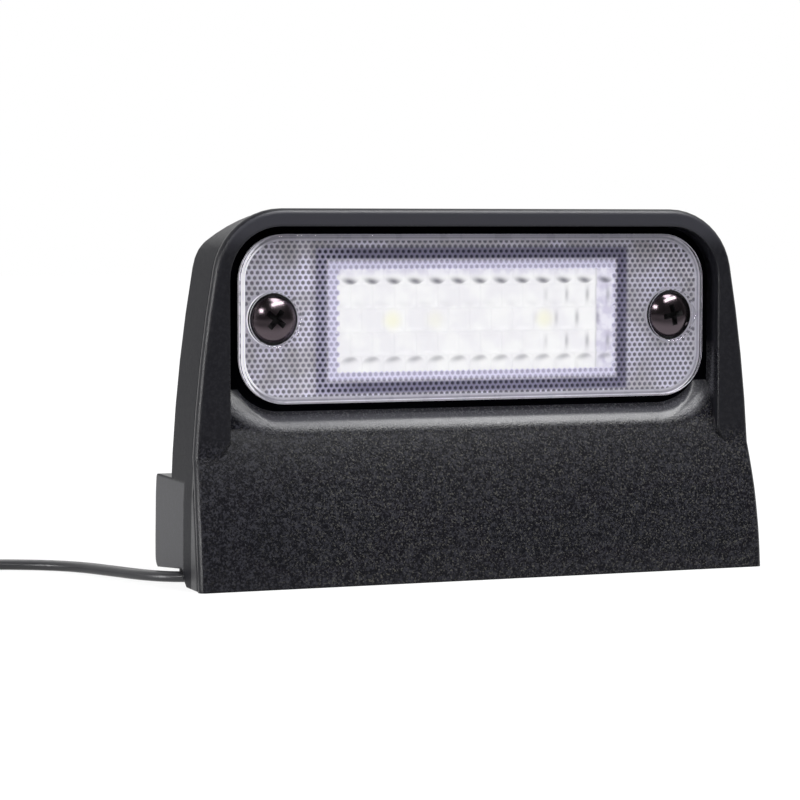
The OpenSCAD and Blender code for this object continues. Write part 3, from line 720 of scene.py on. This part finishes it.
def border_piece():
    """Narrow bands of painted light along the lens's edge and round its counterbores."""
    y = net_y - 0.04 * MM
    edge_insets = (0.12 * MM, 0.35 * MM, 0.6 * MM, 0.85 * MM, 1.1 * MM)
    bore_gaps = (0.02 * MM, 0.12 * MM, 0.22 * MM, 0.34 * MM)
    bm = bmesh.new()
    layer = bm.verts.layers.float.new("across")

    def band(loops, centre, start=0.0):
        rings = []
        for k, points in enumerate(loops):
            rings.append(ring(bm, points, y, centre))
            for v in rings[-1]:
                v[layer] = start + (1 - start) * k / (len(loops) - 1)
        for a, b in zip(rings, rings[1:]):
            bridge(bm, a, b)

    outlines = [rounded_loop(lens_w - 2 * inset, lens_h - 2 * inset, lens_r - inset) for inset in edge_insets]
    band(outlines, lens_centre)
    for place in screw_places():
        band([circle(counterbore_r + gap) for gap in bore_gaps], place, 0.5)
    piece = new_object("lens_edge_band", bm)
    piece.data.materials.append(border_material())
    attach(piece, "root")


def pillow_height(u, v):
    """Height from 0 to 1 of one pillow at u and v, each from -1 to 1 across it."""
    return max(0.0, 1 - abs(u) ** 2.6) ** 0.5 * max(0.0, 1 - abs(v) ** 2.6) ** 0.5


def pillow_shade(u, v, row, x):
    """Painted shade from 0 to 1: scallops of shade on the ends that face the diodes, and upright marks of
    shade towards the right.
    """
    end_strength = {2: 0.95, 1: 0.1, 0: 0.0, -1: 0.03, -2: 0.5}[row]
    end_width = 0.62 if row > 0 else 0.75
    side_strength = 0.5 if abs(row) < 2 else 0.12
    side_from, side_full = 7 * MM, 20 * MM
    line_x, line_reach, line_strength = 22.6 * MM, 0.16 * MM, 0.3
    border_strength = 0.05
    # how far towards the diodes, and the pillow's round end there
    toward = -v if row > 0 else v
    round_end = 0.94 * max(0.0, 1 - (u + 0.05) ** 2) ** 0.5
    on_pillow = 1.0 - step_between(toward - round_end, -0.04, 0.1)
    end = hump(u, -0.04, end_width) * hump(toward, 0.72 + 0.16 * u, 0.27) * on_pillow * end_strength
    side = hump(u, -0.78, 0.2) * hump(v, 0.05, 0.62) * step_between(x, side_from, side_full) * side_strength
    line = line_strength * hump(x, line_x, line_reach)
    border = border_strength * step_between(max(abs(u), abs(v)), 0.86, 1)
    return min(1.0, max(end, side, line) + border)


def pillow_piece():
    """Rows of pillows laid like bricks, cut off at the edges of the window."""
    cell_w, cell_h = 3.95 * MM, 4.0 * MM
    phase = 0.75 * MM
    base_y, rise = net_y + 0.1 * MM, 0.5 * MM
    step = 0.2 * MM
    nx, nz = round(window_w / step), round(window_h / step)
    bm = bmesh.new()
    layer = bm.verts.layers.float.new("shade")
    grid = []
    for j in range(nz + 1):
        z = -window_h / 2 + window_h * j / nz
        row = math.floor(z / cell_h + 0.5)
        v = 2 * (z / cell_h - row)
        line = []
        for i in range(nx + 1):
            x = window_x - window_w / 2 + window_w * i / nx
            along = (x - phase) / cell_w + (0.0 if row % 2 == 0 else 0.5)
            u = 2 * (along - math.floor(along + 0.5))
            vert = bm.verts.new((x, base_y + rise * pillow_height(u, v), light_z + z))
            vert[layer] = pillow_shade(u, v, row, x)
            line.append(vert)
        grid.append(line)
    for a, b in zip(grid, grid[1:]):
        for i in range(nx):
            bm.faces.new((a[i], a[i + 1], b[i + 1], b[i]))
    piece = new_object("lens_pillows", bm)
    piece.data.materials.append(pillow_material())
    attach(piece, "root")


# Lead

def smooth_path(points, per=6):
    """Catmull-Rom curve through the points."""
    out = []
    for i in range(len(points) - 1):
        p0, p1 = points[max(i - 1, 0)], points[i]
        p2, p3 = points[i + 1], points[min(i + 2, len(points) - 1)]
        for k in range(per):
            t = k / per
            out.append(0.5 * ((2 * p1) + (p2 - p0) * t + (2 * p0 - 5 * p1 + 4 * p2 - p3) * t * t
                              + (3 * p1 - p0 - 3 * p2 + p3) * t ** 3))
    out.append(points[-1])
    return out


def stage_at(stages, t):
    """Radius and height after t turns, smoothly between the stages before and after it."""
    for (t0, r0, z0), (t1, r1, z1) in zip(stages, stages[1:]):
        if t <= t1:
            f = step_between(t, t0, t1)
            return r0 + (r1 - r0) * f, z0 + (z1 - z0) * f


def coil_points(start):
    """The put-away coil in millimetres, and the straight end that leaves it and comes down to the floor."""
    turn_w, turn_h = 3.5, 1.9
    outer = 18 + turn_w / 2
    inner = outer - turn_w
    low, high = lead_floor_z, lead_floor_z + turn_h
    # turns so far, radius and height: out and low, in and low, in and high, out and high
    stages = [(0, outer, low), (0.75, outer, low), (0.9, inner, low), (1.65, inner, low),
              (1.8, inner, high), (2.5, inner, high), (2.65, outer, high), (3.25, outer, high)]
    per_turn = 60
    centre = Vector((start[0], start[1] - outer, 0))
    points = []
    for k in range(1, int(stages[-1][0] * per_turn) + 1):
        r, z = stage_at(stages, k / per_turn)
        a = math.radians(90) + 2 * math.pi * k / per_turn
        points.append(centre + Vector((r * math.cos(a), r * math.sin(a), z)))
    end = points[-1]
    end_length, fall_from = 12, 3
    for k in range(1, end_length + 1):
        fall = step_between(k, fall_from, end_length)
        points.append(Vector((end.x, end.y - k, low + (high - low) * (1 - fall))))
    return points


def lead_path():
    route = [Vector(p) for p in [lead_top] + lead_down] + [Vector((x, y, lead_floor_z)) for x, y in lead_over]
    return [p * MM for p in smooth_path(route) + coil_points(lead_over[-1])]


def lead_section():
    """Outline of the flat lead, with a waist between its two cores that lie side by side."""
    around = 20
    waist, waist_reach = 0.16, 0.35
    section = []
    for k in range(around):
        a = 2 * math.pi * k / around
        c, q = math.cos(a), math.sin(a)
        narrow = 1 - waist * (1 - min(1, abs(c) / waist_reach))
        w = math.copysign(abs(c) ** 0.75, c) * lead_w / 2
        t = math.copysign(abs(q) ** 0.85, q) * lead_t / 2 * narrow
        section.append((w, t))
    return section


def lead_piece():
    path = lead_path()
    section = lead_section()
    # the flat side faces the front where the lead comes down, and lies on the floor lower down
    upright_z, lying_z = 17 * MM, 5 * MM
    bm = bmesh.new()
    rings = []
    for i, p in enumerate(path):
        t = (path[min(i + 1, len(path) - 1)] - path[max(i - 1, 0)]).normalized()
        turn = max(0, min(1, (upright_z - p.z) / (upright_z - lying_z)))
        lying = Vector((-t.y, t.x, 0))
        w = Vector((1, 0, 0)) * (1 - turn) + lying * turn
        w = (w - t * w.dot(t)).normalized()
        n = t.cross(w)
        rings.append([bm.verts.new(p + w * a + n * b) for a, b in section])
    for a, b in zip(rings, rings[1:]):
        bridge(bm, a, b)
    bm.faces.new(rings[0])
    bm.faces.new(list(reversed(rings[-1])))
    bmesh.ops.recalc_face_normals(bm, faces=bm.faces)
    piece = new_object("flat_lead", bm)
    piece.data.materials.append(plain_material("lead_sheath", rgb(40, 40, 43), 0.34))
    length = sum((b - a).length for a, b in zip(path, path[1:]))
    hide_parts("lead", "lead_coil")
    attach(piece, "root")
    tuple(path[0])


# Screws

def screw_body(place):
    """Pan-head screw, its head still without the cross recess."""
    dome = 1.4 * MM
    dome_r = (head_r ** 2 + dome ** 2) / (2 * dome)
    soft = 0.25 * MM
    shank_r, tip_r = 1.95 * MM, 0.9 * MM
    shank_end, tip_end = seat_y + 6.4 * MM, seat_y + 7.6 * MM
    around, dome_steps = 64, 12
    profile = [(tip_r, tip_end), (shank_r, shank_end), (shank_r, seat_y), (head_r - soft, seat_y),
               (head_r, seat_y - soft), (head_r, head_front + dome + 0.1 * MM)]
    for k in range(dome_steps):
        r = head_r * (1 - k / dome_steps) - 0.06 * MM * (k == 0)
        profile.append((r, head_front + dome_r - math.sqrt(dome_r ** 2 - r * r)))
    bm = bmesh.new()
    rings = [ring(bm, circle(r, around), y, place) for r, y in profile]
    for a, b in zip(rings, rings[1:]):
        bridge(bm, a, b)
    bm.faces.new(rings[0])
    crest = bm.verts.new((place.x, head_front, place.z))
    for k in range(around):
        bm.faces.new((rings[-1][k], rings[-1][(k + 1) % around], crest))
    bmesh.ops.recalc_face_normals(bm, faces=bm.faces)
    return bm


def recess_cutter(place, turn):
    """Plus-shaped body that grows narrower into the head and cuts its cross recess."""
    wing, slim, depth = 2.05 * MM, 0.46 * MM, 1.5 * MM
    # how far in each row lies as a share of the depth, half the width of an arm and its length
    stages = ((-0.7, slim * 1.3, wing * 1.35), (1, slim * 0.8, wing * 0.5))
    bm = bmesh.new()
    rows = []
    for part, half_w, half_l in stages:
        arm = [(half_l, -half_w), (half_l, half_w), (half_w, half_w)]
        points = []
        for quarter in range(4):
            a = turn + math.radians(90 * quarter)
            c, q = math.cos(a), math.sin(a)
            points += [(x * c - z * q, x * q + z * c) for x, z in arm]
        rows.append(ring(bm, points, head_front + part * depth, place))
    bridge(bm, rows[0], rows[1])
    bm.faces.new(rows[0])
    bm.faces.new(list(reversed(rows[1])))
    bmesh.ops.recalc_face_normals(bm, faces=bm.faces)
    return bm


def cut_out(piece, cutter):
    """Takes the cutter out of the piece, and removes it."""
    cut = piece.modifiers.new("recess", "BOOLEAN")
    cut.object = cutter
    cut.solver = "EXACT"
    depsgraph = bpy.context.evaluated_depsgraph_get()
    mesh = bpy.data.meshes.new_from_object(piece.evaluated_get(depsgraph))
    piece.modifiers.clear()
    piece.data = mesh
    bpy.data.objects.remove(cutter)


def shade_by_angle(mesh, limit):
    """Triangles with smooth shading, except over edges that turn by more than the limit in degrees."""
    bm = bmesh.new()
    bm.from_mesh(mesh)
    bmesh.ops.triangulate(bm, faces=bm.faces)
    bmesh.ops.remove_doubles(bm, verts=bm.verts, dist=weld)
    for face in bm.faces:
        face.smooth = True
    for edge in bm.edges:
        edge.smooth = len(edge.link_faces) == 2 and edge.calc_face_angle(0) < math.radians(limit)
    bm.to_mesh(mesh)
    bm.free()


def screw_pieces():
    zinc = plain_material("black_zinc", rgb(90, 81, 86), 0.17, metallic=1.0, grain=700, depth=0.01 * MM)
    recess = plain_material("recess_shade", rgb(14, 13, 15), 0.5, specular=0.2)
    # each screw stopped at its own angle, in degrees
    for side, place, turn in zip(("left", "right"), screw_places(), (52, 12)):
        piece = new_object("pan_screw_" + side, screw_body(place))
        cutter = new_object("recess_cutter", recess_cutter(place, math.radians(turn)), smooth=False)
        for part in (piece, cutter):
            part.data.materials.append(zinc)
            part.data.materials.append(recess)
        for face in cutter.data.polygons:
            face.material_index = 1
        cut_out(piece, cutter)
        shade_by_angle(piece.data, 28)
        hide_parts("lens_screw_" + side)
        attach(piece, "root")


def dress_cad():
    """Materials for the solids that are shown as they are."""
    # material, colour, roughness, metal or not, and the nodes that it is for
    looks = [
        ("seal_rubber", rgb(38, 38, 40), 0.8, 0, ["lens_seal"]),
        ("white_tray", rgb(238, 238, 242), 0.4, 0, ["reflector"]),
        ("board_resist", rgb(232, 234, 228), 0.45, 0, ["led_board"]),
        ("phosphor", rgb(244, 222, 120), 0.4, 0,
         ["led_outer_left", "led_inner_left", "led_inner_right", "led_outer_right"]),
        ("resin", rgb(44, 44, 48), 0.5, 0,
         ["driver_chip", "polarity_diode", "resistor_left", "resistor_right"]),
        ("fired_body", rgb(190, 166, 138), 0.5, 0, ["capacitor"]),
        ("tin", rgb(200, 202, 206), 0.3, 1, ["solder_joints", "tail_tip_plus", "tail_tip_minus"]),
        ("red_core", rgb(168, 50, 44), 0.4, 0, ["core_plus", "tail_core_plus"]),
        ("black_core", rgb(48, 48, 52), 0.4, 0, ["core_minus", "tail_core_minus"]),
        ("bush_rubber", rgb(40, 40, 42), 0.75, 0, ["lead_grommet"]),
        ("tie_coat", rgb(34, 34, 37), 0.5, 0, ["coil_tie"]),
    ]
    for name, colour, roughness, metallic, wearers in looks:
        material = plain_material(name, colour, roughness, metallic)
        for node in wearers:
            data = nodes[node].data
            data.materials.clear()
            data.materials.append(material)


# Surroundings

def white_background(tree, surface, strength):
    """Plain white for the camera and in mirrors and glass, and the surface for the light on the object."""
    path = tree.nodes.new("ShaderNodeLightPath")
    seen = path.outputs["Is Camera Ray"]
    for name in ("Is Glossy Ray", "Is Transmission Ray"):
        either = tree.nodes.new("ShaderNodeMath")
        either.operation = "MAXIMUM"
        tree.links.new(seen, either.inputs[0])
        tree.links.new(path.outputs[name], either.inputs[1])
        seen = either.outputs[0]
    white = tree.nodes.new("ShaderNodeEmission")
    white.inputs["Color"].default_value = (1, 1, 1, 1)
    tree.links.new(strength, white.inputs["Strength"])
    scale = tree.nodes.new("ShaderNodeMixShader")
    tree.links.new(seen, scale.inputs[0])
    tree.links.new(white.outputs[0], scale.inputs[2])
    both = tree.nodes.new("ShaderNodeAddShader")
    tree.links.new(scale.outputs[0], both.inputs[0])
    tree.links.new(surface, both.inputs[1])
    return both.outputs[0]


def floor_piece():
    """White paper that keeps the object's shadow and isn't there when seen from underneath."""
    half = 3.0
    drop = 0.05 * MM
    paper_low, paper_high = (0.13, 0.13, 0.13, 1), (0.15, 0.15, 0.15, 1)
    # the paper glows a little less near the object, where the lamps' own light adds to it
    near_object, near_strength = (0.1, 0.3), 0.88
    mirror_end, mirror_loss = (-0.12, -0.04), 0.85
    bm = bmesh.new()
    corners = [(-half, -half), (half, -half), (half, half), (-half, half)]
    bm.faces.new([bm.verts.new((x, y, -drop)) for x, y in corners])
    piece = new_object("white_floor", bm, smooth=False)
    s = Shader("white_paper")
    x, y, z = s.parts(s.place)
    s.set(Base_Color=s.mix(s.noise(40), paper_low, paper_high), Roughness=1, Specular_IOR_Level=0)
    near = s.ramp(s.length(x, y), *near_object, near_strength, 1)
    # mirrors see the paper end in front of the object
    mirrored = s.add("ShaderNodeLightPath").outputs["Is Glossy Ray"]
    strength = s.less(near, s.product(mirrored, s.ramp(y, *mirror_end, mirror_loss, 0)))
    under = s.add("ShaderNodeMixShader")
    s.feed(under.inputs[0], s.add("ShaderNodeNewGeometry").outputs["Backfacing"])
    s.feed(under.inputs[1], white_background(s.tree, s.surface.outputs[0], strength))
    s.feed(under.inputs[2], s.add("ShaderNodeBsdfTransparent").outputs[0])
    s.feed(s.out.inputs["Surface"], under.outputs[0])
    piece.data.materials.append(s.material)


def world():
    """White behind the object, darker on the camera's side as mirrors see it, and an even fill."""
    studio = bpy.data.worlds.new("studio")
    studio.use_nodes = True
    tree = studio.node_tree
    fill = tree.nodes["Background"]
    fill.inputs["Color"].default_value = (0.94, 0.95, 1.0, 1)
    fill.inputs["Strength"].default_value = 0.4
    white = tree.nodes.new("ShaderNodeBackground")
    white.inputs["Color"].default_value = (1, 1, 1, 1)
    mirrored = tree.nodes.new("ShaderNodeBackground")
    mirrored.inputs["Color"].default_value = (1, 1, 1, 1)
    axes = tree.nodes.new("ShaderNodeSeparateXYZ")
    tree.links.new(tree.nodes.new("ShaderNodeTexCoord").outputs["Generated"], axes.inputs[0])
    # from dark on the camera's side to white behind the object, by the direction's y
    back = tree.nodes.new("ShaderNodeMapRange")
    tree.links.new(axes.outputs[1], back.inputs["Value"])
    for name, value in (("From Min", -0.35), ("From Max", 0.15), ("To Min", 0.08), ("To Max", 1)):
        back.inputs[name].default_value = value
    tree.links.new(back.outputs["Result"], mirrored.inputs["Strength"])
    path = tree.nodes.new("ShaderNodeLightPath")
    last = white
    for name, other in (("Is Glossy Ray", mirrored), ("Is Diffuse Ray", fill)):
        choice = tree.nodes.new("ShaderNodeMixShader")
        tree.links.new(path.outputs[name], choice.inputs[0])
        tree.links.new(last.outputs[0], choice.inputs[1])
        tree.links.new(other.outputs[0], choice.inputs[2])
        last = choice
    tree.links.new(last.outputs[0], tree.nodes["World Output"].inputs["Surface"])
    bpy.context.scene.world = studio


def lamp(name, place, target, width, height, power):
    """Rectangular area lamp that faces its target, with its power in watts."""
    data = bpy.data.lights.new(name, "AREA")
    data.shape = "RECTANGLE"
    data.size = width
    data.size_y = height
    data.energy = power
    light = bpy.data.objects.new(name, data)
    light.location = place
    light.rotation_euler = (Vector(target) - Vector(place)).to_track_quat("-Z", "Y").to_euler()
    bpy.context.collection.objects.link(light)


def lamps():
    lamp("upper_box", (0.25, -0.2, 0.64), (0, 0, 0.03), 0.5, 0.2, 4)
    lamp("ledge_box", (0.25, -0.4, 0.54), (0, 0, 0.03), 0.5, 0.08, 3.5)
    lamp("left_box", (-0.6, -0.26, 0.1), (0, 0, 0.03), 0.12, 0.3, 4)
    lamp("front_left", (-0.34, -0.5, 0.33), (0, 0, 0.04), 0.11, 0.11, 0.9)


look()
lead_piece()
world()
lamps()
floor_piece()
housing_piece()
lens_piece()
lattice_glow = net_material()
net_piece(lattice_glow)
sheet_piece(lattice_glow)
border_piece()
pillow_piece()
screw_pieces()
dress_cad()

bpy.context.scene.view_settings.view_transform = "Standard"
